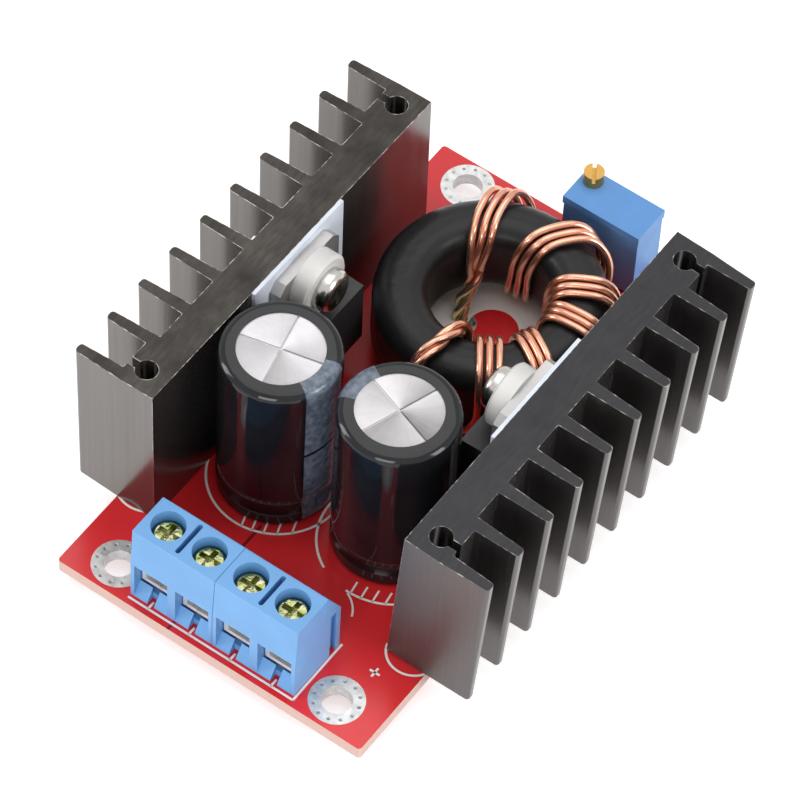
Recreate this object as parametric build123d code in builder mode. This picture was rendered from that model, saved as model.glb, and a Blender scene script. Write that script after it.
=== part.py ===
from build123d import *
import math
import os

os.makedirs("parts", exist_ok=True)

# A step-up converter module. X runs along the screw terminal, Y from the terminal to the trimmer, Z up.
# The origin is the centre of the four mounting holes on the underside of the board. Millimetres.

# Circuit board
board_thickness = 1.6
board_corner_radius = 0.4
side_hole_inset = 5.25
front_hole_inset = 3.4
back_hole_inset = 3.0
mounting_hole_radius = 1.6
hole_ring_radius = 2.9
plating_thickness = 0.1
lead_hole_clearance = 0.15
solder_height = 1.8
solder_tip_radius = 0.4
solder_land = 0.45
solder_waist_share = 0.42
lead_trim = 0.15

# Capacitors, side by side between the heatsinks
capacitor_diameter = 12.6
capacitor_height = 21.2
capacitor_gap = 1.1
capacitor_stagger = 1.0
capacitor_row_shift = -0.6
capacitor_side_clearance = 0.85
sleeve_thickness = 0.15
sleeve_lip = 1.8
sleeve_foot_lip = 0.6
can_shoulder_radius = 0.9
bead_depth = 0.25
bead_height = 2.6
bead_width = 2.4
vent_width = 0.25
vent_depth = 0.12
seal_radius = 4.9
seal_recess = 0.5
seal_thickness = 1.5
capacitor_lead_pitch = 5.0
capacitor_lead_radius = 0.3
stand_height = 0.3
seal_foot_radius = 0.6
vent_angles = (13, 71)

# Heatsinks, one along each long edge of the board
heatsink_length = 47.2
heatsink_height = 20.3
heatsink_depth = 9.8
heatsink_base = 4.0
fin_count = 10
fin_root = 1.5
fin_tip = 1.1
fin_tip_radius = 0.4
channel_radius = 1.2
channel_inset = 2.5
channel_depth = 2.6
channel_neck = 0.9
channel_boss_depth = 4.7
channel_boss_length = 5.2
heatsink_seat = 4.75
left_lean = 0.8
right_lean = 3.5
left_heatsink_shift = -0.25
right_heatsink_shift = 1.0
pin_press_length = 6.0
pin_press_clearance = 0.02
pin_tail_radius = 0.6

# Power devices in TO-220 packages
tab_width = 10.0
tab_thickness = 1.3
tab_top = 19.2
tab_hole_radius = 1.85
tab_hole_drop = 2.8
tab_corner = 1.0
tab_length = 14.8
body_length = 9.0
body_thickness = 4.5
body_draft = 0.3
device_length = 15.5
lead_pitch = 2.54
lead_width = 0.8
lead_shoulder_width = 1.35
lead_shoulder_length = 1.4
lead_thickness = 0.5
lead_plane = 2.4
lead_root = 1.5
pad_thickness = 0.4
pad_width = 15.0
pad_height = 18.0
washer_body_gap = 0.15
washer_thickness = 2.0
washer_chamfer = 0.3
washer_spigot = 1.1
clamp_screw_radius = 1.45
clamp_screw_length = 9.0
clamp_head_radius = 2.4
clamp_head_height = 1.6
clamp_head_dome = 0.9
screw_clearance = 0.05
recess_width = 0.7
recess_length = 2.8
recess_depth = 1.1

# Toroidal choke wound with three wires side by side
core_outer_radius = 12.2
core_inner_radius = 6.4
core_height = 9.7
core_rim_flat = 1
wire_radius = 0.4
wire_clearance = 0.1
strand_pitch = 0.95
strand_count = 3
turn_angles = (126, 84, 36, 8, -22, -52, -82)
over_share = 0.3
outside_share = 0.25
under_share = 0.3
last_slant = 13
toroid_shift = 0.3
toroid_device_clearance = 0.75
start_tail_radius = 3.9
start_tail_angle = 165
start_tail_height = 3.2
tail_bend = 1.2

# Screw terminal, two mouldings of two poles
pole_pitch = 5.08
poles_per_housing = 2
housing_count = 2
housing_seam = 0.06
terminal_shift = -0.29
terminal_front_inset = 1.2
terminal_depth = 7.6
terminal_height = 10.7
terminal_top_front = 0.35
terminal_top_rear = 5.35
terminal_chamfer_height = 6.8
entry_height = 5.3
pole_wall = 0.98
chamber_front = 1.0
chamber_back = 5.9
chamber_floor = 0.9
chamber_roof = 7.35
roof_thickness = 0.5
well_radius = 1.8
screw_axis_inset = 2.9
ramp_height = 1.7
ramp_lip = 0.15
ramp_gap = 0.85
top_slot_width = 0.55
top_slot_length = 4.2
top_slot_depth = 2.6
key_width = 1.2
key_depth = 0.45
key_inset = 1.2
key_clearance = 0.08
key_angle = 110
screw_shank_radius = 1.2
screw_head_radius = 1.62
screw_head_height = 1.5
screw_head_chamfer = 0.25
running_clearance = 0.05
driver_slot_width = 0.62
driver_slot_length = 2.4
driver_slot_depth = 0.8
cage_wall = 0.5
cage_side_clearance = 0.15
cage_depth = 3.5
cage_height = 4.1
cage_floor_clearance = 0.1
cage_lift = 0.9
tongue_gap = 2.15
tongue_thickness = 0.6
contact_side_clearance = 0.15
contact_pin_width = 1.0
contact_back_clearance = 0.3

# Trimmer at the back edge
trimmer_length = 9.5
trimmer_depth = 4.83
trimmer_height = 9.8
trimmer_shift = 4.07
trimmer_back_inset = 0.08
trimmer_foot_height = 0.4
trimmer_foot_size = 1.0
trimmer_lid_height = 1.1
trimmer_lid_overhang = 0.12
adjuster_head_radius = 1.1
adjuster_head_height = 1.5
adjuster_shank_radius = 0.8
adjuster_shank_length = 3.0
adjuster_end_inset = 1.4
adjuster_back_inset = 1.3
adjuster_slot_width = 0.4
adjuster_slot_depth = 0.7
adjuster_slot_angle = 122
trimmer_pin_radius = 0.26
trimmer_pin_pitch = 2.54

# Underside parts
chip_length = 4.9
chip_width = 3.9
chip_height = 1.4
chip_standoff = 0.1
chip_chamfer = 0.2
chip_leads_per_side = 4
chip_lead_pitch = 1.27
chip_lead_width = 0.4
chip_lead_reach = 1.05
chip_lead_thickness = 0.2
sense_length = 6.3
sense_width = 3.2
sense_height = 0.6
sense_chamfer = 0.12
small_length = 2.0
small_width = 1.25
small_height = 0.55
small_rows = 4
small_pitch = 2.0
underside_gap = 2.2

# Gaps along the board, from the terminal back to the trimmer
terminal_capacitor_gap = 6.7
capacitor_device_gap = 0.6
toroid_trimmer_gap = 1.05

# Places worked out from the sizes above
capacitor_radius = capacitor_diameter / 2
heatsink_face_x = capacitor_diameter + capacitor_gap / 2 + capacitor_side_clearance
board_width = 2 * (heatsink_face_x + heatsink_seat)
winding_reach = core_outer_radius + 2 * (wire_radius + wire_clearance)
body_front_x = heatsink_face_x - pad_thickness - body_thickness
toroid_device_reach = core_outer_radius + toroid_device_clearance
capacitor_y_from_front = (
    terminal_front_inset + terminal_depth + terminal_capacitor_gap + capacitor_radius
)
device_y_from_front = capacitor_y_from_front + capacitor_radius + capacitor_device_gap + tab_width / 2
toroid_y_from_front = (
    device_y_from_front + tab_width / 2 + math.sqrt(toroid_device_reach**2 - body_front_x**2)
)
trimmer_y_from_front = toroid_y_from_front + winding_reach + toroid_trimmer_gap
board_length = trimmer_y_from_front + trimmer_depth + trimmer_back_inset
hole_spacing_x = board_width - 2 * side_hole_inset
hole_spacing_y = board_length - front_hole_inset - back_hole_inset
front_edge = -hole_spacing_y / 2 - front_hole_inset
back_edge = front_edge + board_length
board_top = board_thickness
capacitor_y = front_edge + capacitor_y_from_front
device_y = front_edge + device_y_from_front
toroid_y = front_edge + toroid_y_from_front
trimmer_front = front_edge + trimmer_y_from_front
terminal_front = front_edge + terminal_front_inset
lead_end = -solder_height + lead_trim
capacitor_spread = math.sqrt((capacitor_diameter + capacitor_gap) ** 2 - capacitor_stagger**2) / 2
capacitor_centres = [
    (capacitor_row_shift - capacitor_spread, capacitor_y),
    (capacitor_row_shift + capacitor_spread, capacitor_y + capacitor_stagger),
]
terminal_width = pole_pitch * poles_per_housing * housing_count
terminal_left = terminal_shift - terminal_width / 2
pole_centres = [
    terminal_left + pole_pitch * (index + 0.5) for index in range(poles_per_housing * housing_count)
]


def heatsink_frame(side, lean, shift):
    """Plane at the foot of a heatsink's inner face: x points away from the board, z up the face."""
    angle = math.radians(lean)
    outward = (side * math.cos(angle), 0, -math.sin(angle))
    upward = (side * math.sin(angle), 0, math.cos(angle))
    foot = (side * heatsink_face_x, device_y + shift, board_top + heatsink_seat * math.tan(angle))
    return Plane(origin=foot, x_dir=outward, z_dir=upward)


def cross_plane(frame, along):
    """Plane across a heatsink's frame that faces outward, its own x along the heatsink."""
    return Plane(
        origin=frame.from_local_coords((along, 0, 0)), x_dir=frame.y_dir, z_dir=frame.x_dir
    )


def upright_plane(frame, across):
    """Plane at one place along a heatsink, its own x outward and its own y up."""
    return Plane(
        origin=frame.from_local_coords((0, across, 0)), x_dir=frame.x_dir, z_dir=-frame.y_dir
    )


left_frame = heatsink_frame(-1, left_lean, left_heatsink_shift)
right_frame = heatsink_frame(1, right_lean, right_heatsink_shift)
sides = {
    "left": (left_frame, left_heatsink_shift),
    "right": (right_frame, -right_heatsink_shift),
}
device_leads = [-lead_pitch, 0, lead_pitch]
lead_x = -pad_thickness - lead_plane
pin_along = heatsink_length / 2 - channel_inset


def on_board(frame, out, along):
    """Where a lead of a leaning heatsink or device passes the middle of the board."""
    angle_cosine = frame.z_dir.Z
    start = frame.from_local_coords((out, along, 0))
    drop = (start.Z - board_thickness / 2) / angle_cosine
    place = start - frame.z_dir * drop
    return (place.X, place.Y)


mounting_holes = [
    (x * hole_spacing_x / 2, y * hole_spacing_y / 2) for x in (-1, 1) for y in (-1, 1)
]
terminal_pin_y = terminal_front + chamber_back - contact_back_clearance - tongue_thickness / 2
terminal_holes = [(x, terminal_pin_y) for x in pole_centres]
capacitor_holes = [
    (x + side * capacitor_lead_pitch / 2, y) for x, y in capacitor_centres for side in (-1, 1)
]
device_holes = [
    on_board(frame, lead_x, middle + lead) for frame, middle in sides.values() for lead in device_leads
]
heatsink_holes = [
    on_board(frame, channel_depth, end * pin_along) for frame, middle in sides.values() for end in (-1, 1)
]
trimmer_middle_y = trimmer_front + trimmer_depth / 2
trimmer_holes = [
    (trimmer_shift + step * trimmer_pin_pitch, trimmer_middle_y) for step in (-1, 0, 1)
]


def about_toroid(radius, angle):
    """Point on the board at a radius and an angle about the toroid's axis."""
    turn = math.radians(angle)
    return (toroid_shift + radius * math.cos(turn), toroid_y + radius * math.sin(turn))


wire_offset = wire_radius + wire_clearance
inner_reach = core_inner_radius - wire_offset
outer_reach = core_outer_radius + wire_offset
start_tail = about_toroid(start_tail_radius, start_tail_angle)
finish_tail = about_toroid(outer_reach, turn_angles[-1] - last_slant)
tail_holes = [start_tail, finish_tail]
tail_bundle_radius = strand_pitch * (strand_count - 1) / 2 + wire_radius

# Each kind of lead with the radius of the round hole that it passes through
contact_corner = math.hypot(contact_pin_width / 2, tongue_thickness / 2)
device_corner = math.hypot(lead_width / 2, lead_thickness / 2)
lead_holes = [
    (terminal_holes, contact_corner + lead_hole_clearance),
    (capacitor_holes, capacitor_lead_radius + lead_hole_clearance),
    (device_holes, device_corner + lead_hole_clearance),
    (heatsink_holes, pin_tail_radius + lead_hole_clearance),
    (trimmer_holes, trimmer_pin_radius + lead_hole_clearance),
    (tail_holes, tail_bundle_radius + lead_hole_clearance),
]

# Circuit board, drilled for every lead and recessed for the mounting hole rings
board_centre = (0, (front_edge + back_edge) / 2)
barrel_radius = mounting_hole_radius + plating_thickness
with BuildPart() as circuit_board:
    with BuildSketch(Plane.XY):
        with Locations(board_centre):
            RectangleRounded(board_width, board_length, board_corner_radius)
        with Locations(*mounting_holes):
            Circle(barrel_radius, mode=Mode.SUBTRACT)
        for places, radius in lead_holes:
            with Locations(*places):
                Circle(radius, mode=Mode.SUBTRACT)
    extrude(amount=board_thickness)
    with BuildSketch(Plane.XY, Plane.XY.offset(board_top - plating_thickness)):
        with Locations(*mounting_holes):
            Circle(hole_ring_radius)
    extrude(amount=plating_thickness, mode=Mode.SUBTRACT)
circuit_board.part.label = "circuit_board"
export_step(circuit_board.part, "parts/circuit_board.step")

# Plated rings on both faces with the barrel between them, one spool for each mounting hole
with BuildPart() as hole_plating:
    with BuildSketch(Plane.XY):
        with Locations(*mounting_holes):
            Circle(barrel_radius)
            Circle(mounting_hole_radius, mode=Mode.SUBTRACT)
    extrude(amount=board_thickness)
    with BuildSketch(Plane.XY, Plane.XY.offset(board_top - plating_thickness)):
        with Locations(*mounting_holes):
            Circle(hole_ring_radius)
            Circle(mounting_hole_radius, mode=Mode.SUBTRACT)
    extrude(amount=plating_thickness)
hole_plating.part.label = "hole_plating"
export_step(hole_plating.part, "parts/hole_plating.step")

# Heatsinks: a base with ten tapered fins and a screw channel in a thicker boss at each end
fin_pitch = (heatsink_length - fin_root) / (fin_count - 1)
screw_height = tab_top - tab_hole_drop
screw_inner_end = -pad_thickness - tab_thickness - washer_thickness
screw_outer_end = screw_inner_end + clamp_screw_length
for name, (frame, middle) in sides.items():
    with BuildPart() as heatsink:
        with BuildSketch(frame):
            with Locations((heatsink_base / 2, 0)):
                Rectangle(heatsink_base, heatsink_length)
            with GridLocations(0, fin_pitch, 1, fin_count):
                Polygon(
                    (heatsink_base / 2, -fin_root / 2),
                    (heatsink_base, -fin_root / 2),
                    (heatsink_depth, -fin_tip / 2),
                    (heatsink_depth, fin_tip / 2),
                    (heatsink_base, fin_root / 2),
                    (heatsink_base / 2, fin_root / 2),
                )
            with GridLocations(0, heatsink_length - channel_boss_length, 1, 2):
                Polygon(
                    (0, -channel_boss_length / 2),
                    (channel_boss_depth, -channel_boss_length / 2),
                    (channel_boss_depth, channel_boss_length / 2),
                    (0, channel_boss_length / 2),
                )
            fin_ends = vertices().group_by(Axis.X)[-1]
            fillet(fin_ends, fin_tip_radius)
            with Locations((channel_depth, -pin_along), (channel_depth, pin_along)):
                Circle(channel_radius, mode=Mode.SUBTRACT)
                Rectangle(
                    heatsink_depth,
                    channel_neck,
                    align=(Align.MIN, Align.CENTER),
                    mode=Mode.SUBTRACT,
                )
        extrude(amount=heatsink_height)
        with BuildSketch(cross_plane(frame, 0)):
            with Locations((middle, screw_height)):
                Circle(clamp_screw_radius + screw_clearance)
        extrude(amount=screw_outer_end, mode=Mode.SUBTRACT)
    heatsink.part.label = f"heatsink_{name}"
    export_step(heatsink.part, f"parts/heatsink_{name}.step")

# Pins pressed up into the channels, with tails through the board
with BuildPart() as heatsink_pins:
    for frame, middle in sides.values():
        for end in (-1, 1):
            foot = frame.from_local_coords((channel_depth, end * pin_along, 0))
            tail_length = (foot.Z - lead_end) / frame.z_dir.Z
            with BuildSketch(Plane(origin=foot, x_dir=frame.x_dir, z_dir=frame.z_dir)):
                Circle(channel_radius - pin_press_clearance)
            extrude(amount=pin_press_length)
            with BuildSketch(Plane(origin=foot, x_dir=frame.x_dir, z_dir=frame.z_dir)):
                Circle(pin_tail_radius)
            extrude(amount=-tail_length)
heatsink_pins.part.label = "heatsink_pins"
export_step(heatsink_pins.part, "parts/heatsink_pins.step")

# Power devices with their pads, washers and screws, one on each heatsink's inner face
lead_parts = [heatsink_pins.part]
body_top = tab_top - device_length + body_length
body_bottom = body_top - body_length
washer_radius = device_length - body_length - tab_hole_drop - washer_body_gap
for name, (frame, middle) in sides.items():
    face = cross_plane(frame, 0)

    with BuildPart() as insulating_pad:
        with BuildSketch(face):
            with Locations((middle, heatsink_height - pad_height / 2)):
                Rectangle(pad_width, pad_height)
            with Locations((middle, screw_height)):
                Circle(tab_hole_radius, mode=Mode.SUBTRACT)
        extrude(amount=-pad_thickness)
    insulating_pad.part.label = f"insulating_pad_{name}"
    export_step(insulating_pad.part, f"parts/insulating_pad_{name}.step")

    # The tab and the middle lead are one strip, and the outer leads end inside the body
    with BuildPart() as device_frame:
        with BuildSketch(face.offset(-pad_thickness)):
            with Locations((middle, tab_top - tab_length / 2)):
                Rectangle(tab_width, tab_length)
            chamfer(vertices().group_by(Axis.Y)[-1], tab_corner)
            with Locations((middle, screw_height)):
                Circle(tab_hole_radius, mode=Mode.SUBTRACT)
        extrude(amount=-tab_thickness)
        with BuildSketch(face.offset(lead_x + lead_thickness / 2)):
            lead_foot = frame.to_local_coords(Vector(*on_board(frame, lead_x, 0), lead_end)).Z
            shoulder_end = body_bottom - lead_shoulder_length
            for lead in device_leads:
                with Locations((middle + lead, (lead_foot + body_bottom + lead_root) / 2)):
                    Rectangle(lead_width, body_bottom + lead_root - lead_foot)
                with Locations((middle + lead, (shoulder_end + body_bottom + lead_root) / 2)):
                    Rectangle(lead_shoulder_width, body_bottom + lead_root - shoulder_end)
        extrude(amount=-lead_thickness)
        with BuildSketch(face.offset(-pad_thickness - tab_thickness)):
            with Locations((middle, body_bottom + lead_root)):
                Rectangle(lead_shoulder_width, lead_root, align=(Align.CENTER, Align.MAX))
        extrude(amount=lead_x + pad_thickness + tab_thickness)
    device_frame.part.label = f"device_frame_{name}"
    export_step(device_frame.part, f"parts/device_frame_{name}.step")
    lead_parts.append(device_frame.part)

    with BuildPart() as device_body:
        with BuildSketch(upright_plane(frame, middle)):
            Polygon(
                (-pad_thickness, body_bottom),
                (-pad_thickness, body_top),
                (-pad_thickness - tab_thickness, body_top),
                (-pad_thickness - body_thickness, body_top - body_draft),
                (-pad_thickness - body_thickness, body_bottom + body_draft),
                (-pad_thickness - tab_thickness, body_bottom),
            )
        extrude(amount=tab_width / 2, both=True)
        add(device_frame.part, mode=Mode.SUBTRACT)
    device_body.part.label = f"device_body_{name}"
    export_step(device_body.part, f"parts/device_body_{name}.step")

    # White bush: a chamfered flange on the tab with a spigot in the tab's hole
    screw_line = upright_plane(frame, middle)
    screw_axis = Axis(frame.from_local_coords((0, middle, screw_height)), frame.x_dir)
    washer_outer = -pad_thickness - tab_thickness
    spigot_radius = tab_hole_radius - screw_clearance
    washer_bore = clamp_screw_radius + screw_clearance
    with BuildPart() as shoulder_washer:
        with BuildSketch(screw_line):
            Polygon(
                (washer_outer + washer_spigot, screw_height + washer_bore),
                (washer_outer + washer_spigot, screw_height + spigot_radius),
                (washer_outer, screw_height + spigot_radius),
                (washer_outer, screw_height + washer_radius),
                (screw_inner_end + washer_chamfer, screw_height + washer_radius),
                (screw_inner_end, screw_height + washer_radius - washer_chamfer),
                (screw_inner_end, screw_height + washer_bore),
            )
        revolve(axis=screw_axis)
    shoulder_washer.part.label = f"shoulder_washer_{name}"
    export_step(shoulder_washer.part, f"parts/shoulder_washer_{name}.step")

    # Pan head screw through the bush into the heatsink's base
    head_face = screw_inner_end - clamp_head_height
    with BuildPart() as clamp_screw:
        with BuildSketch(face.offset(screw_inner_end)):
            with Locations((middle, screw_height)):
                Circle(clamp_head_radius)
        extrude(amount=-clamp_head_height)
        fillet(edges().group_by(screw_axis)[0], clamp_head_dome)
        with BuildSketch(face.offset(screw_inner_end)):
            with Locations((middle, screw_height)):
                Circle(clamp_screw_radius)
        extrude(amount=clamp_screw_length)
        with BuildSketch(face.offset(head_face)):
            with Locations((middle, screw_height)):
                Rectangle(recess_length, recess_width)
                Rectangle(recess_width, recess_length)
        extrude(amount=recess_depth, mode=Mode.SUBTRACT)
    clamp_screw.part.label = f"clamp_screw_{name}"
    export_step(clamp_screw.part, f"parts/clamp_screw_{name}.step")

# Capacitors: a beaded can in a shrunk sleeve, on a rubber seal with two leads
can_radius = capacitor_radius - sleeve_thickness
can_bottom = board_top + stand_height
can_top = can_bottom + capacitor_height
bead_middle = can_bottom + bead_height


def capacitor_outline(inset):
    """Half outline of the can from its foot to its shoulder, drawn in by an inset."""
    radius = capacitor_radius - inset
    top = can_top - inset
    return [
        ("line", (radius, can_bottom + inset), (radius, bead_middle - bead_width / 2)),
        (
            "arc",
            (radius, bead_middle - bead_width / 2),
            (radius - bead_depth, bead_middle),
            (radius, bead_middle + bead_width / 2),
        ),
        ("line", (radius, bead_middle + bead_width / 2), (radius, top - can_shoulder_radius)),
        (
            "arc",
            (radius, top - can_shoulder_radius),
            (
                radius - can_shoulder_radius * (1 - math.sqrt(0.5)),
                top - can_shoulder_radius * (1 - math.sqrt(0.5)),
            ),
            (radius - can_shoulder_radius, top),
        ),
    ]


def draw_outline(parts):
    """Adds the lines and arcs of an outline to the current sketch line."""
    for kind, *points in parts:
        if kind == "line":
            Line(*points)
        else:
            ThreePointArc(*points)


for index, (centre, vent_angle) in enumerate(zip(capacitor_centres, vent_angles), start=1):
    axis = Axis((*centre, 0), (0, 0, 1))
    section = Plane(origin=(*centre, 0), x_dir=(1, 0, 0), z_dir=(0, -1, 0))
    disc_radius = can_radius - can_shoulder_radius
    lip_radius = capacitor_radius - sleeve_lip

    with BuildPart() as can:
        with BuildSketch(section):
            with BuildLine():
                draw_outline(capacitor_outline(sleeve_thickness))
                Polyline(
                    (disc_radius, can_top - sleeve_thickness),
                    (0, can_top - sleeve_thickness),
                    (0, can_bottom + seal_recess),
                    (seal_radius, can_bottom + seal_recess),
                    (seal_radius, can_bottom + sleeve_thickness),
                    (can_radius, can_bottom + sleeve_thickness),
                )
            make_face()
        revolve(axis=axis)
        with BuildSketch(Plane.XY.offset(can_top - sleeve_thickness)):
            with Locations(centre):
                Rectangle(2 * lip_radius, vent_width, rotation=vent_angle)
                Rectangle(vent_width, 2 * lip_radius, rotation=vent_angle)
        extrude(amount=-vent_depth, mode=Mode.SUBTRACT)
        with BuildSketch(Plane.XY.offset(can_bottom + seal_recess)):
            with Locations(centre):
                Circle(seal_radius)
        extrude(amount=seal_thickness - seal_recess, mode=Mode.SUBTRACT)
    can.part.label = f"capacitor_{index}_can"
    export_step(can.part, f"parts/capacitor_{index}_can.step")

    with BuildPart() as sleeve:
        with BuildSketch(section):
            with BuildLine():
                draw_outline(capacitor_outline(0))
                Polyline(
                    (capacitor_radius - can_shoulder_radius, can_top),
                    (lip_radius, can_top),
                    (lip_radius, can_top - sleeve_thickness),
                    (disc_radius, can_top - sleeve_thickness),
                )
                draw_outline(capacitor_outline(sleeve_thickness))
                Polyline(
                    (can_radius, can_bottom + sleeve_thickness),
                    (capacitor_radius - sleeve_foot_lip, can_bottom + sleeve_thickness),
                    (capacitor_radius - sleeve_foot_lip, can_bottom),
                    (capacitor_radius, can_bottom),
                )
            make_face()
        revolve(axis=axis)
    sleeve.part.label = f"capacitor_{index}_sleeve"
    export_step(sleeve.part, f"parts/capacitor_{index}_sleeve.step")

    leads_here = [
        (centre[0] + side * capacitor_lead_pitch / 2, centre[1]) for side in (-1, 1)
    ]
    with BuildPart() as capacitor_leads:
        with BuildSketch(Plane.XY.offset(lead_end)):
            with Locations(*leads_here):
                Circle(capacitor_lead_radius)
        extrude(amount=can_bottom + seal_thickness - lead_end)
    capacitor_leads.part.label = f"capacitor_{index}_leads"
    export_step(capacitor_leads.part, f"parts/capacitor_{index}_leads.step")
    lead_parts.append(capacitor_leads.part)

    with BuildPart() as seal:
        with BuildSketch(Plane.XY.offset(can_bottom)):
            with Locations(centre):
                Circle(seal_radius)
            with Locations(*leads_here):
                Circle(capacitor_lead_radius, mode=Mode.SUBTRACT)
        extrude(amount=seal_thickness)
        with BuildSketch(Plane.XY.offset(board_top)):
            with Locations(centre):
                with GridLocations(0, seal_radius, 1, 2):
                    Circle(seal_foot_radius)
        extrude(amount=stand_height)
    seal.part.label = f"capacitor_{index}_seal"
    export_step(seal.part, f"parts/capacitor_{index}_seal.step")

# Toroid core: a ring of rounded section lying flat over its winding
core_corner_radius = (core_outer_radius - core_inner_radius - core_rim_flat) / 2
core_bottom = board_top + 2 * (wire_radius + wire_clearance)
core_top = core_bottom + core_height
core_axis = Axis((toroid_shift, toroid_y, 0), (0, 0, 1))
with BuildPart() as toroid_core:
    with BuildSketch(Plane(origin=(toroid_shift, toroid_y, 0), x_dir=(1, 0, 0), z_dir=(0, -1, 0))):
        with Locations(((core_inner_radius + core_outer_radius) / 2, core_bottom + core_height / 2)):
            RectangleRounded(
                core_outer_radius - core_inner_radius, core_height, core_corner_radius
            )
    revolve(axis=core_axis)
toroid_core.part.label = "toroid_core"
export_step(toroid_core.part, "parts/toroid_core.step")

# Winding: three strands side by side, wound over the core turn by turn and led down to the board
under_height = core_bottom - wire_offset
over_height = core_top + wire_offset
bend_radius = core_corner_radius + wire_offset


def strand_point(reach, angle, offset, height):
    """Point of a strand at a reach from the axis, set off to the side of its turn's plane."""
    turn = math.radians(angle)
    radial = math.sqrt(reach**2 - offset**2)
    return (
        toroid_shift + radial * math.cos(turn) - offset * math.sin(turn),
        toroid_y + radial * math.sin(turn) + offset * math.cos(turn),
        height,
    )


def strand_route(offset):
    """Corner points and bend radii of a strand: up from its first hole, round the core, down to its last.

    Each turn shares its step round the core between the run over the top, the drop outside,
    the run underneath and the rise inside the hole.
    """
    first = math.radians(turn_angles[0])
    start = (start_tail[0] - offset * math.sin(first), start_tail[1] + offset * math.cos(first))
    points = [(*start, lead_end), (*start, board_top + start_tail_height)]
    radii = [tail_bend]
    for angle, following in zip(turn_angles, turn_angles[1:]):
        step = following - angle
        over_end = angle + over_share * step
        outside_end = over_end + outside_share * step
        under_end = outside_end + under_share * step
        points.append(strand_point(inner_reach, angle, offset, over_height))
        points.append(strand_point(outer_reach, over_end, offset, over_height))
        points.append(strand_point(outer_reach, outside_end, offset, under_height))
        points.append(strand_point(inner_reach, under_end, offset, under_height))
        radii += [bend_radius] * 4
    last = turn_angles[-1]
    points.append(strand_point(inner_reach, last, offset, over_height))
    points.append(strand_point(outer_reach, last - last_slant, offset, over_height))
    points.append(strand_point(outer_reach, last - last_slant, offset, lead_end))
    radii += [bend_radius] * 2
    return points, radii


for index in range(strand_count):
    corners, bends = strand_route((index - (strand_count - 1) / 2) * strand_pitch)
    with BuildPart() as winding_strand:
        with BuildLine() as route:
            FilletPolyline(*corners, radius=bends)
        with BuildSketch(Plane(origin=route.line @ 0, z_dir=route.line % 0)):
            Circle(wire_radius)
        sweep(path=route.line)
    winding_strand.part.label = f"winding_strand_{index + 1}"
    export_step(winding_strand.part, f"parts/winding_strand_{index + 1}.step")
    lead_parts.append(winding_strand.part)

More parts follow.
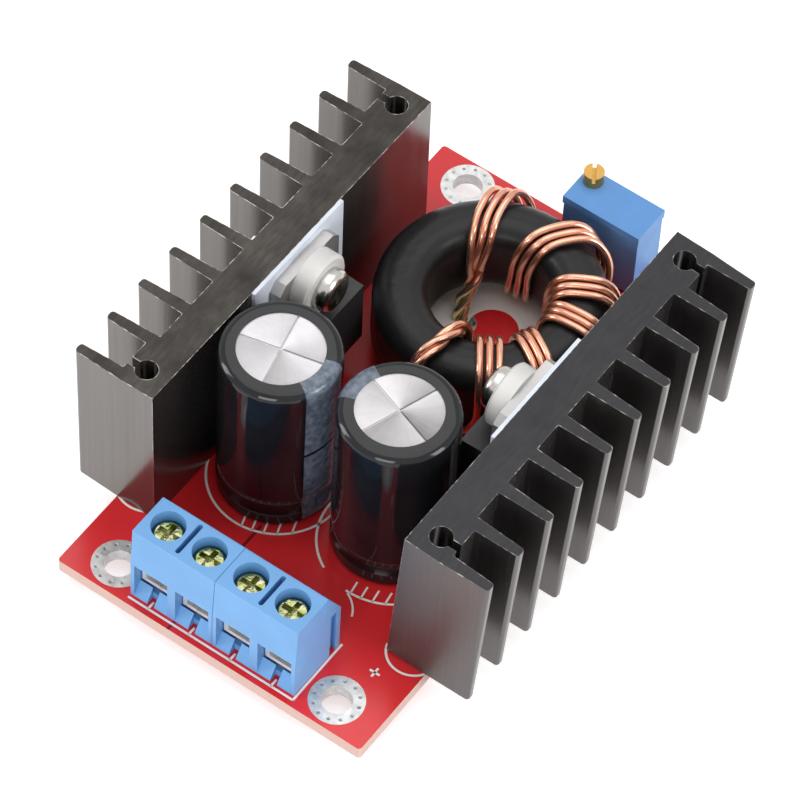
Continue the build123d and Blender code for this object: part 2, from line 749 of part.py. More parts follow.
# Screw terminal mouldings: a profile with a sloping back, two pole chambers, screw wells and wire entries
housing_width = pole_pitch * poles_per_housing - housing_seam
entry_width = pole_pitch - pole_wall
chamber_middle = terminal_front + (chamber_front + chamber_back) / 2
screw_y = terminal_front + screw_axis_inset
well_floor = chamber_roof + roof_thickness
key_height = terminal_chamfer_height
key_middle = terminal_depth - key_inset
housing_names = ["left", "right"]
for housing_index in range(housing_count):
    first_pole = housing_index * poles_per_housing
    poles = pole_centres[first_pole : first_pole + poles_per_housing]
    left_face = terminal_left + pole_pitch * first_pole + housing_seam / 2
    end_plane = Plane(
        origin=(left_face, terminal_front, board_top), x_dir=(0, 1, 0), z_dir=(1, 0, 0)
    )
    with BuildPart() as terminal_housing:
        with BuildSketch(end_plane):
            Polygon(
                (0, 0),
                (terminal_depth, 0),
                (terminal_depth, terminal_chamfer_height),
                (terminal_top_rear, terminal_height),
                (terminal_top_front, terminal_height),
                (0, entry_height),
            )
        extrude(amount=housing_width)
        for x in poles:
            with BuildSketch(Plane.XY.offset(board_top + chamber_floor)):
                with Locations((x, chamber_middle)):
                    Rectangle(entry_width, chamber_back - chamber_front)
            extrude(amount=chamber_roof - chamber_floor, mode=Mode.SUBTRACT)
            with BuildSketch(Plane.XY.offset(board_top)):
                with Locations((x, terminal_front + chamber_front / 2)):
                    Rectangle(entry_width, chamber_front)
            extrude(amount=entry_height, mode=Mode.SUBTRACT)
            with BuildSketch(Plane.XY.offset(board_top)):
                with Locations((x, terminal_pin_y)):
                    Rectangle(
                        contact_pin_width + 2 * contact_side_clearance,
                        tongue_thickness + 2 * contact_side_clearance,
                    )
            extrude(amount=chamber_floor, mode=Mode.SUBTRACT)
            for side in (-1, 1):
                ramp_end = x + side * entry_width / 2
                ramp_plane = Plane(
                    origin=(ramp_end, terminal_front, board_top), x_dir=(0, 1, 0), z_dir=(1, 0, 0)
                )
                with BuildSketch(ramp_plane):
                    Polygon((0, 0), (chamber_front, 0), (chamber_front, ramp_height), (0, ramp_lip))
                extrude(amount=-side * (entry_width - ramp_gap) / 2)
            with BuildSketch(Plane.XY.offset(board_top + well_floor)):
                with Locations((x, screw_y)):
                    Circle(well_radius)
            extrude(amount=terminal_height - well_floor, mode=Mode.SUBTRACT)
            with BuildSketch(Plane.XY.offset(board_top + chamber_roof)):
                with Locations((x, screw_y)):
                    Circle(screw_shank_radius + running_clearance)
            extrude(amount=roof_thickness, mode=Mode.SUBTRACT)
        with BuildSketch(Plane.XY.offset(board_top + terminal_height)):
            for x in poles[:-1]:
                with Locations((x + pole_pitch / 2, screw_y)):
                    SlotOverall(top_slot_length, top_slot_width, rotation=90)
        extrude(amount=-top_slot_depth, mode=Mode.SUBTRACT)
        # Key on the left face and keyway in the right face, which join neighbouring mouldings
        with BuildSketch(Plane.XY.offset(board_top)):
            with Locations((left_face + housing_width, terminal_front + key_middle)):
                Trapezoid(
                    key_width + 2 * key_clearance,
                    key_depth + key_clearance,
                    key_angle,
                    rotation=90,
                    align=(Align.CENTER, Align.MIN),
                )
        extrude(amount=key_height, mode=Mode.SUBTRACT)
        with BuildSketch(Plane.XY.offset(board_top)):
            with Locations((left_face, terminal_front + key_middle)):
                Trapezoid(
                    key_width, key_depth, key_angle, rotation=90, align=(Align.CENTER, Align.MIN)
                )
        extrude(amount=key_height - key_clearance)
    name = f"terminal_housing_{housing_names[housing_index]}"
    terminal_housing.part.label = name
    export_step(terminal_housing.part, f"parts/{name}.step")

# Fixed contacts: a tongue across each chamber, bent down into a pin through the board
cage_width = entry_width - 2 * cage_side_clearance
cage_lowest = board_top + chamber_floor + cage_floor_clearance
cage_bottom = cage_lowest + cage_lift
tongue_bottom = cage_lowest + cage_wall + tongue_gap
tongue_top = tongue_bottom + tongue_thickness
tongue_width = cage_width - 2 * cage_wall - 2 * contact_side_clearance
tongue_front = screw_axis_inset - cage_depth / 2
contact_back = chamber_back - contact_back_clearance
with BuildPart() as terminal_contacts:
    with BuildSketch(Plane.XY.offset(tongue_bottom)):
        for x in pole_centres:
            with Locations((x, terminal_front + (tongue_front + contact_back) / 2)):
                Rectangle(tongue_width, contact_back - tongue_front)
    extrude(amount=tongue_thickness)
    with BuildSketch(Plane.XY.offset(lead_end)):
        with Locations(*terminal_holes):
            Rectangle(contact_pin_width, tongue_thickness)
    extrude(amount=tongue_bottom - lead_end)
terminal_contacts.part.label = "terminal_contacts"
export_step(terminal_contacts.part, "parts/terminal_contacts.step")
lead_parts.append(terminal_contacts.part)

# Clamp cages that rise round the tongues, and the screws that lift them
cage_top = cage_bottom + cage_height
shank_end = tongue_top + contact_side_clearance
head_bottom = board_top + well_floor + running_clearance
for index, x in enumerate(pole_centres, start=1):
    front_plane = Plane(
        origin=(x, screw_y - cage_depth / 2, cage_bottom), x_dir=(1, 0, 0), z_dir=(0, -1, 0)
    )
    with BuildPart() as wire_clamp:
        with BuildSketch(front_plane):
            with Locations((0, cage_height / 2)):
                Rectangle(cage_width, cage_height)
                Rectangle(
                    cage_width - 2 * cage_wall, cage_height - 2 * cage_wall, mode=Mode.SUBTRACT
                )
        extrude(amount=-cage_depth)
        with BuildSketch(Plane.XY.offset(cage_top - cage_wall)):
            with Locations((x, screw_y)):
                Circle(screw_shank_radius + running_clearance)
        extrude(amount=cage_wall, mode=Mode.SUBTRACT)
    wire_clamp.part.label = f"wire_clamp_{index}"
    export_step(wire_clamp.part, f"parts/wire_clamp_{index}.step")

    with BuildPart() as terminal_screw:
        with BuildSketch(Plane.XY.offset(shank_end)):
            with Locations((x, screw_y)):
                Circle(screw_shank_radius)
        extrude(amount=head_bottom - shank_end)
        with BuildSketch(Plane.XY.offset(head_bottom)):
            with Locations((x, screw_y)):
                Circle(screw_head_radius)
        extrude(amount=screw_head_height)
        rim = edges().filter_by(GeomType.CIRCLE).group_by(Axis.Z)[-1]
        chamfer(rim, screw_head_chamfer)
        with BuildSketch(Plane.XY.offset(head_bottom + screw_head_height)):
            with Locations((x, screw_y)):
                Rectangle(driver_slot_length, driver_slot_width)
                Rectangle(driver_slot_width, driver_slot_length)
        extrude(amount=-driver_slot_depth, mode=Mode.SUBTRACT)
    terminal_screw.part.label = f"terminal_screw_{index}"
    export_step(terminal_screw.part, f"parts/terminal_screw_{index}.step")

# Trimmer: a case with a lid flange and feet, its brass adjuster at one end, and three pins
case_bottom = board_top + trimmer_foot_height
case_top = case_bottom + trimmer_height
adjuster_x = trimmer_shift - trimmer_length / 2 + adjuster_end_inset
adjuster_y = trimmer_front + trimmer_depth - adjuster_back_inset
adjuster_bottom = case_top - adjuster_shank_length
adjuster_seat = case_top + running_clearance
with BuildPart() as trimmer_pins:
    with BuildSketch(Plane.XY.offset(lead_end)):
        with Locations(*trimmer_holes):
            Circle(trimmer_pin_radius)
    extrude(amount=case_bottom + trimmer_foot_size - lead_end)
trimmer_pins.part.label = "trimmer_pins"
export_step(trimmer_pins.part, "parts/trimmer_pins.step")
lead_parts.append(trimmer_pins.part)

with BuildPart() as trimmer_housing:
    with BuildSketch(Plane.XY.offset(board_top)):
        with Locations((trimmer_shift, trimmer_middle_y)):
            with GridLocations(
                trimmer_length - 2 * trimmer_lid_overhang - trimmer_foot_size,
                trimmer_depth - 2 * trimmer_lid_overhang - trimmer_foot_size,
                2,
                2,
            ):
                Rectangle(trimmer_foot_size, trimmer_foot_size)
    extrude(amount=trimmer_foot_height)
    with BuildSketch(Plane.XY.offset(case_bottom)):
        with Locations((trimmer_shift, trimmer_middle_y)):
            Rectangle(
                trimmer_length - 2 * trimmer_lid_overhang, trimmer_depth - 2 * trimmer_lid_overhang
            )
    extrude(amount=trimmer_height - trimmer_lid_height)
    with BuildSketch(Plane.XY.offset(case_top - trimmer_lid_height)):
        with Locations((trimmer_shift, trimmer_middle_y)):
            Rectangle(trimmer_length, trimmer_depth)
    extrude(amount=trimmer_lid_height)
    with BuildSketch(Plane.XY.offset(case_top)):
        with Locations((adjuster_x, adjuster_y)):
            Circle(adjuster_shank_radius + running_clearance)
    extrude(amount=-adjuster_shank_length - running_clearance, mode=Mode.SUBTRACT)
    add(trimmer_pins.part, mode=Mode.SUBTRACT)
trimmer_housing.part.label = "trimmer_housing"
export_step(trimmer_housing.part, "parts/trimmer_housing.step")

with BuildPart() as trimmer_screw:
    with BuildSketch(Plane.XY.offset(adjuster_bottom)):
        with Locations((adjuster_x, adjuster_y)):
            Circle(adjuster_shank_radius)
    extrude(amount=adjuster_seat - adjuster_bottom)
    with BuildSketch(Plane.XY.offset(adjuster_seat)):
        with Locations((adjuster_x, adjuster_y)):
            Circle(adjuster_head_radius)
    extrude(amount=adjuster_head_height)
    with BuildSketch(Plane.XY.offset(adjuster_seat + adjuster_head_height)):
        with Locations((adjuster_x, adjuster_y)):
            Rectangle(2 * adjuster_head_radius, adjuster_slot_width, rotation=adjuster_slot_angle)
    extrude(amount=-adjuster_slot_depth, mode=Mode.SUBTRACT)
trimmer_screw.part.label = "trimmer_screw"
export_step(trimmer_screw.part, "parts/trimmer_screw.step")

# Solder joints: each fills its hole and stands below the board as a cone round the lead
with BuildPart() as solder_joints:
    for places, radius in lead_holes:
        land_radius = radius + solder_land
        for x, y in places:
            with BuildSketch(Plane(origin=(x, y, 0), x_dir=(1, 0, 0), z_dir=(0, -1, 0))):
                with BuildLine():
                    Polyline(
                        (land_radius, 0),
                        (radius, 0),
                        (radius, board_top),
                        (0, board_top),
                        (0, -solder_height),
                        (solder_tip_radius, -solder_height),
                    )
                    ThreePointArc(
                        (solder_tip_radius, -solder_height),
                        ((land_radius + solder_tip_radius) * solder_waist_share, -solder_height / 2),
                        (land_radius, 0),
                    )
                make_face()
            revolve(axis=Axis((x, y, 0), (0, 0, 1)))
    for leads_of_part in lead_parts:
        add(leads_of_part, mode=Mode.SUBTRACT)
solder_joints.part.label = "solder_joints"
export_step(solder_joints.part, "parts/solder_joints.step")

# Control chip on the underside, with gull-wing leads along its two long sides
chip_x = 0
chip_y = terminal_front + terminal_depth + terminal_capacitor_gap / 2
with BuildPart() as control_chip:
    with BuildSketch(Plane.XY.offset(-chip_standoff)):
        with Locations((chip_x, chip_y)):
            Rectangle(chip_length, chip_width)
    extrude(amount=-chip_height)
    chamfer(edges().group_by(Axis.Z)[0], chip_chamfer)
    lead_level = -chip_standoff - chip_height / 2
    for side in (-1, 1):
        lead_root_y = chip_y + side * chip_width / 2
        foot_plane = Plane(origin=(chip_x, lead_root_y, 0), x_dir=(0, side, 0), z_dir=(side, 0, 0))
        for index in range(chip_leads_per_side):
            step = index - (chip_leads_per_side - 1) / 2
            lead_x_place = step * chip_lead_pitch - side * chip_lead_width / 2
            with BuildSketch(foot_plane.offset(side * lead_x_place)):
                Polygon(
                    (0, lead_level),
                    (chip_lead_reach / 2, lead_level),
                    (chip_lead_reach / 2, -chip_lead_thickness),
                    (chip_lead_reach, -chip_lead_thickness),
                    (chip_lead_reach, 0),
                    (chip_lead_reach / 2 - chip_lead_thickness, 0),
                    (chip_lead_reach / 2 - chip_lead_thickness, lead_level + chip_lead_thickness),
                    (0, lead_level + chip_lead_thickness),
                )
            extrude(amount=chip_lead_width)
control_chip.part.label = "control_chip"
export_step(control_chip.part, "parts/control_chip.step")

# Current sensing resistor and the small chip parts round the control chip
with BuildPart() as sense_resistor:
    with BuildSketch(Plane.XY):
        with Locations((chip_x, device_y - tab_width / 2)):
            Rectangle(sense_length, sense_width)
    extrude(amount=-sense_height)
    chamfer(edges().group_by(Axis.Z)[0], sense_chamfer)
sense_resistor.part.label = "sense_resistor"
export_step(sense_resistor.part, "parts/sense_resistor.step")

with BuildPart() as chip_parts:
    with BuildSketch(Plane.XY):
        with Locations((chip_x, chip_y)):
            with GridLocations(chip_length + 2 * underside_gap, small_pitch, 2, small_rows):
                Rectangle(small_length, small_width)
    extrude(amount=-small_height)
chip_parts.part.label = "chip_parts"
export_step(chip_parts.part, "parts/chip_parts.step")
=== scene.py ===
import math

import bpy
import numpy as np
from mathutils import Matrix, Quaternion, Vector


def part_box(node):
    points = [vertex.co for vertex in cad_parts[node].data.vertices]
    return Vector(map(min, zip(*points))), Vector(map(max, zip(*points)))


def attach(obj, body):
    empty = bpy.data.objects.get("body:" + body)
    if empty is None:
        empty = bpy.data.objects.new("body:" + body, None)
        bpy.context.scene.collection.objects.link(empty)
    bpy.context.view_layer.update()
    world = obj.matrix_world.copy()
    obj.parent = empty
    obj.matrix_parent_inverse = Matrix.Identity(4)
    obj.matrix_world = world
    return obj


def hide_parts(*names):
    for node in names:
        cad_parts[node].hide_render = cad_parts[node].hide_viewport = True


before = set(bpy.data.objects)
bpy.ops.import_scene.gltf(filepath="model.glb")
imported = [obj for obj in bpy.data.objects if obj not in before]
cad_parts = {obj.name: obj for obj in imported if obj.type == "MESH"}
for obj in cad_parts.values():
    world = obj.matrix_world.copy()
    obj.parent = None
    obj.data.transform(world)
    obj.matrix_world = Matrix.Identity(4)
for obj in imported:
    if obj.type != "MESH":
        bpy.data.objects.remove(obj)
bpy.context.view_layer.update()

# The imported module as it stands, in metres, with +Y from the screw terminal to the trimmer.
scene = bpy.context.scene
scene.view_settings.view_transform = "Standard"


# The camera looks down on the front right corner through a long lens, from over half a metre away.
# It is turned a little clockwise about its own line of sight.
camera_place = (0.174431, -0.273134, 0.451934)
camera_target = (0.0004165, -0.0019382, 0.0100)
camera_roll = math.radians(3.672)
camera_data = bpy.data.cameras.new("camera")
camera_data.lens = 243.93
camera_data.sensor_width = 36
camera_data.clip_start = 0.01
camera = bpy.data.objects.new("camera", camera_data)
scene.collection.objects.link(camera)
camera.location = camera_place
aim = Vector(camera_target) - camera.location
camera.rotation_mode = "QUATERNION"
camera.rotation_quaternion = aim.to_track_quat("-Z", "Y") @ Quaternion((0, 0, 1), camera_roll)
scene.camera = camera


# A white sweep under the module and a white tent of light round it. The floor is plain and pale,
# glows a little to the camera so that it stays white, and keeps the module's shadow.
def outlet(node):
    """The socket with a node's result: the third for a mix of colours, the first for any other."""
    is_colour_mix = node.bl_idname == "ShaderNodeMix" and node.data_type == "RGBA"
    return node.outputs[2 if is_colour_mix else 0]


def put(tree, kind, sockets=None, **settings):
    """Add a shader node; sockets maps its inputs to values or to the nodes that feed them."""
    node = tree.nodes.new("ShaderNode" + kind)
    for key, setting in settings.items():
        setattr(node, key, setting)
    for key, feed in (sockets or {}).items():
        if isinstance(feed, bpy.types.Node):
            feed = outlet(feed)
        if isinstance(feed, bpy.types.NodeSocket):
            tree.links.new(feed, node.inputs[key])
        else:
            node.inputs[key].default_value = feed
    return node


def maths(tree, operation, *feeds, **settings):
    """Add a node that does one piece of arithmetic on its feeds."""
    return put(tree, "Math", dict(enumerate(feeds)), operation=operation, **settings)


def seen(tree):
    """1 for a ray from the camera, off a glossy surface or through a clear one, otherwise 0."""
    ray = put(tree, "LightPath").outputs
    shown = maths(tree, "MAXIMUM", ray["Is Camera Ray"], ray["Is Glossy Ray"])
    return maths(tree, "MAXIMUM", shown, ray["Is Transmission Ray"])


def mesh_piece(label, points, faces, smooth=True):
    """Make an object from an array of points in metres and a list of faces."""
    mesh = bpy.data.meshes.new(label)
    mesh.from_pydata(np.asarray(points, dtype=float).tolist(), [], faces)
    mesh.polygons.foreach_set("use_smooth", [smooth] * len(mesh.polygons))
    mesh.update()
    piece = bpy.data.objects.new(label, mesh)
    scene.collection.objects.link(piece)
    return piece


def lamp(label, place, size, power):
    """Hang a soft rectangular lamp at a place, facing the middle of the module."""
    light = bpy.data.lights.new(label, "AREA")
    light.shape = "RECTANGLE"
    light.size, light.size_y = size
    light.energy = power
    holder = bpy.data.objects.new(label, light)
    scene.collection.objects.link(holder)
    holder.location = place
    holder.rotation_mode = "QUATERNION"
    to_middle = Vector((0, 0, lamp_target_height)) - holder.location
    holder.rotation_quaternion = to_middle.to_track_quat("-Z", "Y")


white = (1, 1, 1, 1)
floor_white = (0.82, 0.82, 0.82, 1)
floor_glow = 0.5
floor_reach = 3.0
floor_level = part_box("solder_joints")[0].z
floor_corners = np.array([(-1, -1), (1, -1), (1, 1), (-1, 1)]) * floor_reach
floor = mesh_piece(
    "floor", np.column_stack([floor_corners, np.full(4, floor_level)]), [(0, 1, 2, 3)], smooth=False
)
floor_paper = bpy.data.materials.new("white_paper")
floor_paper.use_nodes = True
tree = floor_paper.node_tree
tree.nodes.clear()
reflected = put(tree, "BsdfDiffuse", {"Color": floor_white})
glow_amount = maths(tree, "MULTIPLY", seen(tree), floor_glow)
glow = put(tree, "Emission", {"Color": white, "Strength": glow_amount})
put(tree, "OutputMaterial", {"Surface": put(tree, "AddShader", {0: reflected, 1: glow})})
floor.data.materials.append(floor_paper)

tent_level = 0.47
tent_seen_level = 1.0
tent = bpy.data.worlds.new("tent")
scene.world = tent
tent.use_nodes = True
tree = tent.node_tree
tree.nodes.clear()
level = put(
    tree, "MapRange", {"Value": seen(tree), "To Min": tent_level, "To Max": tent_seen_level}
)
put(tree, "OutputWorld", {"Surface": put(tree, "Background", {"Color": white, "Strength": level})})

lamp_target_height = 0.01
lamp("overhead_lamp", (-0.05, 0.15, 0.75), (0.72, 0.72), 2.25)
lamp("left_lamp", (-0.6, -0.3, 0.26), (0.2, 0.5), 2.1)
lamp("front_lamp", (0.2, -0.7, 0.26), (0.35, 0.35), 2.5)
lamp("right_lamp", (0.7, 0.1, 0.26), (0.25, 0.5), 2.9)


# The circuit board: woven glass and epoxy, 1.6 mm thick, with a glossy red lacquer over the copper
# on both faces. It is cut to size, so its edges show the pale pinkish layers of the glass. In front
# a gap between two tracks shows as a darker line under the lacquer.
def colour(red, green, blue):
    """Turn a screen colour from 0 to 255 into linear values for a shader, by the sRGB curve."""
    screen = np.array((red, green, blue)) / 255
    linear = np.where(screen <= 0.04045, screen / 12.92, ((screen + 0.055) / 1.055) ** 2.4)
    return (*linear.tolist(), 1.0)


def new_finish(label):
    """Start an empty material; gives it with its node tree and the object's own coordinates."""
    finish = bpy.data.materials.new(label)
    finish.use_nodes = True
    tree = finish.node_tree
    tree.nodes.clear()
    place = put(tree, "TexCoord").outputs["Object"]
    return finish, tree, place


def mottle(tree, place, scale, low=0.0, high=1.0, detail=4.0):
    """Noise with so many blotches per metre, whose usual span of 0.3 to 0.7 becomes low to high."""
    noise = put(tree, "TexNoise", {"Vector": place, "Scale": scale, "Detail": detail})
    return put(
        tree, "MapRange",
        {"Value": noise.outputs["Fac"], "From Min": 0.3, "From Max": 0.7,
         "To Min": low, "To Max": high},
    )


def mixed(tree, share, first, second):
    """Blend two colours, which a mix takes at inputs 6 and 7, by a share from 0 to 1."""
    return put(tree, "Mix", {"Factor": share, 6: first, 7: second}, data_type="RGBA")


def blended(tree, share, first, second):
    """Blend two values, which a mix takes at inputs 2 and 3, by a share from 0 to 1."""
    return put(tree, "Mix", {"Factor": share, 2: first, 3: second})


def coat(tree, tint, rough, height, depth, **constants):
    """Join a colour, a roughness and a bump height to the surface shader and the output."""
    bump = put(tree, "Bump", {"Height": height, "Distance": depth, "Strength": 1.0})
    sockets = {"Base Color": tint, "Roughness": rough, "Normal": bump}
    sockets.update({key.replace("_", " "): value for key, value in constants.items()})
    put(tree, "OutputMaterial", {"Surface": put(tree, "BsdfPrincipled", sockets)})


def dress(finish, *nodes):
    """Give CAD nodes a material of this scene."""
    for node in nodes:
        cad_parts[node].material_slots[0].material = finish


def plain_finish(label, tint, rough, scale, depth, spread=0.08, **constants):
    """A finish of one colour with a fine bump of so many grains per metre and a depth in metres.

    The colour strays by the share spread either way, in blotches four grains wide. The roughness
    strays by the share rough_spread, in blotches two grains wide.
    """
    finish, tree, place = new_finish(label)
    rough_spread = 0.12
    dark = (*(value * (1 - spread) for value in tint[:3]), 1.0)
    light = (*(min(value * (1 + spread), 1.0) for value in tint[:3]), 1.0)
    shade = mixed(tree, mottle(tree, place, scale / 4), dark, light)
    gloss = mottle(
        tree, place, scale / 2, low=rough * (1 - rough_spread), high=rough * (1 + rough_spread)
    )
    coat(tree, shade, gloss, mottle(tree, place, scale), depth, **constants)
    return finish


track_gap_x = -0.0049
track_gap_core = 0.00012
track_gap_fade = 0.00021
track_gap_end = -0.018
lacquer_rough = 0.22
cut_rough = 0.75
board_finish, tree, place = new_finish("red_lacquer")
spot = put(tree, "SeparateXYZ", {"Vector": place})
facing = put(tree, "SeparateXYZ", {"Vector": put(tree, "NewGeometry").outputs["Normal"]})
is_face = maths(tree, "GREATER_THAN", maths(tree, "ABSOLUTE", facing.outputs["Z"]), 0.5)
layers = put(
    tree, "TexWave", {"Vector": place, "Scale": 900.0, "Distortion": 1.5, "Detail": 2.0},
    bands_direction="Z",
)
glass = mixed(tree, layers, colour(196, 160, 150), colour(222, 194, 184))
from_gap = maths(tree, "ABSOLUTE", maths(tree, "SUBTRACT", spot.outputs["X"], track_gap_x))
in_gap = put(
    tree, "MapRange",
    {"Value": from_gap, "From Min": track_gap_fade, "From Max": track_gap_core},
)
before_end = maths(tree, "LESS_THAN", spot.outputs["Y"], track_gap_end)
in_gap = maths(tree, "MULTIPLY", in_gap, before_end)
lacquer = mixed(tree, mottle(tree, place, 90), colour(208, 34, 40), colour(222, 42, 46))
lacquer = mixed(tree, in_gap, lacquer, colour(122, 14, 20))
board_tint = mixed(tree, is_face, glass, lacquer)
board_rough = put(
    tree, "MapRange", {"Value": is_face, "To Min": cut_rough, "To Max": lacquer_rough}
)
weave = put(tree, "TexNoise", {"Vector": place, "Scale": 2600.0, "Detail": 2.0})
coat(tree, board_tint, board_rough, weave, depth=0.000004)
dress(board_finish, "circuit_board")


# White ink is screened on the lacquer: outlines round the terminal, capacitors and heatsinks, a
# solid disc under the choke with a bare eye in it, and a plus by the last pole. The outlines of the
# capacitors are hatched on their front side.
def arc(centre, radius, start, stop):
    """Points of an arc: the centre plus the radius times the cosine and sine of even angles."""
    steps = max(int(abs(stop - start) / arc_step), 2)
    turn = np.radians(np.linspace(start, stop, steps))
    return np.stack([centre[0] + radius * np.cos(turn), centre[1] + radius * np.sin(turn)], axis=1)


def stroke(points, width):
    """Ribbon along a flat line: each point steps half the width aside, square to its heading."""
    points = np.asarray(points, dtype=float)
    heading = np.gradient(points, axis=0)
    heading /= np.linalg.norm(heading, axis=1)[:, None]
    aside = np.stack([-heading[:, 1], heading[:, 0]], axis=1) * width / 2
    corners = np.stack([points - aside, points + aside], axis=1).reshape(-1, 2)
    first = np.arange(len(points) - 1)[:, None] * 2
    return corners, first + np.array([[0, 2, 3, 1]])


ink_lift = 0.00002
ink_width = 0.00025
hatch_width = 0.0002
hatch_length = 0.0015
arc_step = 3
terminal_left = -0.0104
terminal_right = 0.01004
terminal_front = -0.03298
terminal_back = -0.0247
tick_places = (-0.00791, -0.00283, 0.00225, 0.00733)
tick_end = -0.0320
outline_limit = 0.01865
plus_x = 0.0146
plus_y = -0.02546
plus_reach = 0.0006

terminal_corner = (terminal_right, terminal_front)
strokes = [
    stroke([(terminal_left, terminal_front), terminal_corner], ink_width),
    stroke([terminal_corner, (terminal_right, terminal_back)], ink_width),
]
strokes += [stroke([(x, terminal_front), (x, tick_end)], ink_width) for x in tick_places]
for middle, radius, spans, hatch_feet, lean in (
    ((-0.0073, -0.0120), 0.0073, ((-163, 0),), np.arange(5) * 0.00115 + 0.0008, 0.32),
    (
        (0.0068, -0.0115), 0.00775, ((-185, -118), (-92, -20)),
        np.arange(6) * 0.00118 + 0.0003, 0.15,
    ),
):
    strokes += [stroke(arc(middle, radius, *span), ink_width) for span in spans]
    for across in hatch_feet:
        foot = np.array([middle[0] + across, middle[1] - np.sqrt(radius**2 - across**2)])
        strokes.append(stroke([foot, foot + hatch_length * np.array([-lean, 1.0])], hatch_width))
for middle, radius, span in (
    ((-0.0170, -0.0209), 0.0033, (-135, -40)),
    ((-0.0170, 0.0203), 0.0033, (40, 135)),
    ((0.0163, -0.02115), 0.0028, (-165, -32)),
    ((0.0163, 0.0231), 0.0028, (32, 165)),
):
    heatsink_end = arc(middle, radius, *span)
    heatsink_end[:, 0] = np.clip(heatsink_end[:, 0], -outline_limit, outline_limit)
    strokes.append(stroke(heatsink_end, ink_width))
short_arc = arc((0.0055, -0.0228), 0.00362, 22, 68)
strokes += [
    stroke(short_arc, hatch_width),
    stroke([(plus_x - plus_reach, plus_y), (plus_x + plus_reach, plus_y)], ink_width),
    stroke([(plus_x, plus_y - plus_reach), (plus_x, plus_y + plus_reach)], ink_width),
]
eye = arc((-0.0004, 0.01626), 0.00275, 0, 360)
rim = arc((0.0003, 0.014177), 0.009, 0, 360)
ring = np.arange(len(eye) - 1)
disc_faces = np.stack([ring, ring + len(eye), ring + len(eye) + 1, ring + 1], axis=1)
strokes.append((np.concatenate([eye, rim]), disc_faces))

starts = np.cumsum([0] + [len(corners) for corners, quads in strokes])
ink_points = np.concatenate([corners for corners, quads in strokes])
ink_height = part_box("circuit_board")[1].z + ink_lift
ink_points = np.column_stack([ink_points, np.full(len(ink_points), ink_height)])
ink_faces = np.concatenate([quads + start for (corners, quads), start in zip(strokes, starts)])
board_print = mesh_piece("screened_print", ink_points, ink_faces.tolist(), smooth=False)
white_ink = plain_finish(
    "white_ink", colour(236, 231, 226), rough=0.5, scale=1400, depth=0.000003, spread=0.04
)
board_print.data.materials.append(white_ink)
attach(board_print, "module")


# The four corner holes are plated through, with a wide tinned ring on each face. A circle of small
# vias is drilled through each ring; the shade inside them is painted on the tin as dark dots.
def flat_length(tree, x, y):
    """Length of the flat vector with these two sides."""
    vector = put(tree, "CombineXYZ", {"X": x, "Y": y})
    return put(tree, "VectorMath", {0: vector}, operation="LENGTH").outputs["Value"]


hole_x = 0.0135
hole_y = 0.0303369
via_circle = 0.00235
via_core = 0.000128
via_fade = 0.0002
vias_per_ring = 12
via_angle = 2 * math.pi / vias_per_ring
plating_finish, tree, place = new_finish("tinned_rings")
spot = put(tree, "SeparateXYZ", {"Vector": place})
across = maths(tree, "SUBTRACT", maths(tree, "ABSOLUTE", spot.outputs["X"]), hole_x)
along = maths(tree, "SUBTRACT", maths(tree, "ABSOLUTE", spot.outputs["Y"]), hole_y)
sector = maths(tree, "MULTIPLY", maths(tree, "ARCTAN2", along, across), 1 / via_angle)
sector = maths(tree, "SUBTRACT", maths(tree, "FRACT", sector), 0.5)
side = maths(tree, "MULTIPLY", sector, via_angle * via_circle)
outward = maths(tree, "SUBTRACT", flat_length(tree, across, along), via_circle)
is_via = put(
    tree, "MapRange",
    {"Value": flat_length(tree, side, outward), "From Min": via_fade, "From Max": via_core},
)
# The dots are painted shade standing in for the via holes, darker in some than in others.
via_hole_shade = maths(tree, "MULTIPLY", is_via, mottle(tree, place, 420, low=0.1, high=0.9))
tin = mixed(tree, mottle(tree, place, 1400), colour(186, 186, 186), colour(214, 214, 213))
tin = mixed(tree, via_hole_shade, tin, colour(110, 104, 100))
tin_rough = mottle(tree, place, 900, low=0.22, high=0.42)
dimple = maths(tree, "SUBTRACT", 1.0, is_via)
coat(tree, tin, tin_rough, dimple, depth=0.00004, Metallic=0.85)
dress(plating_finish, "hole_plating")
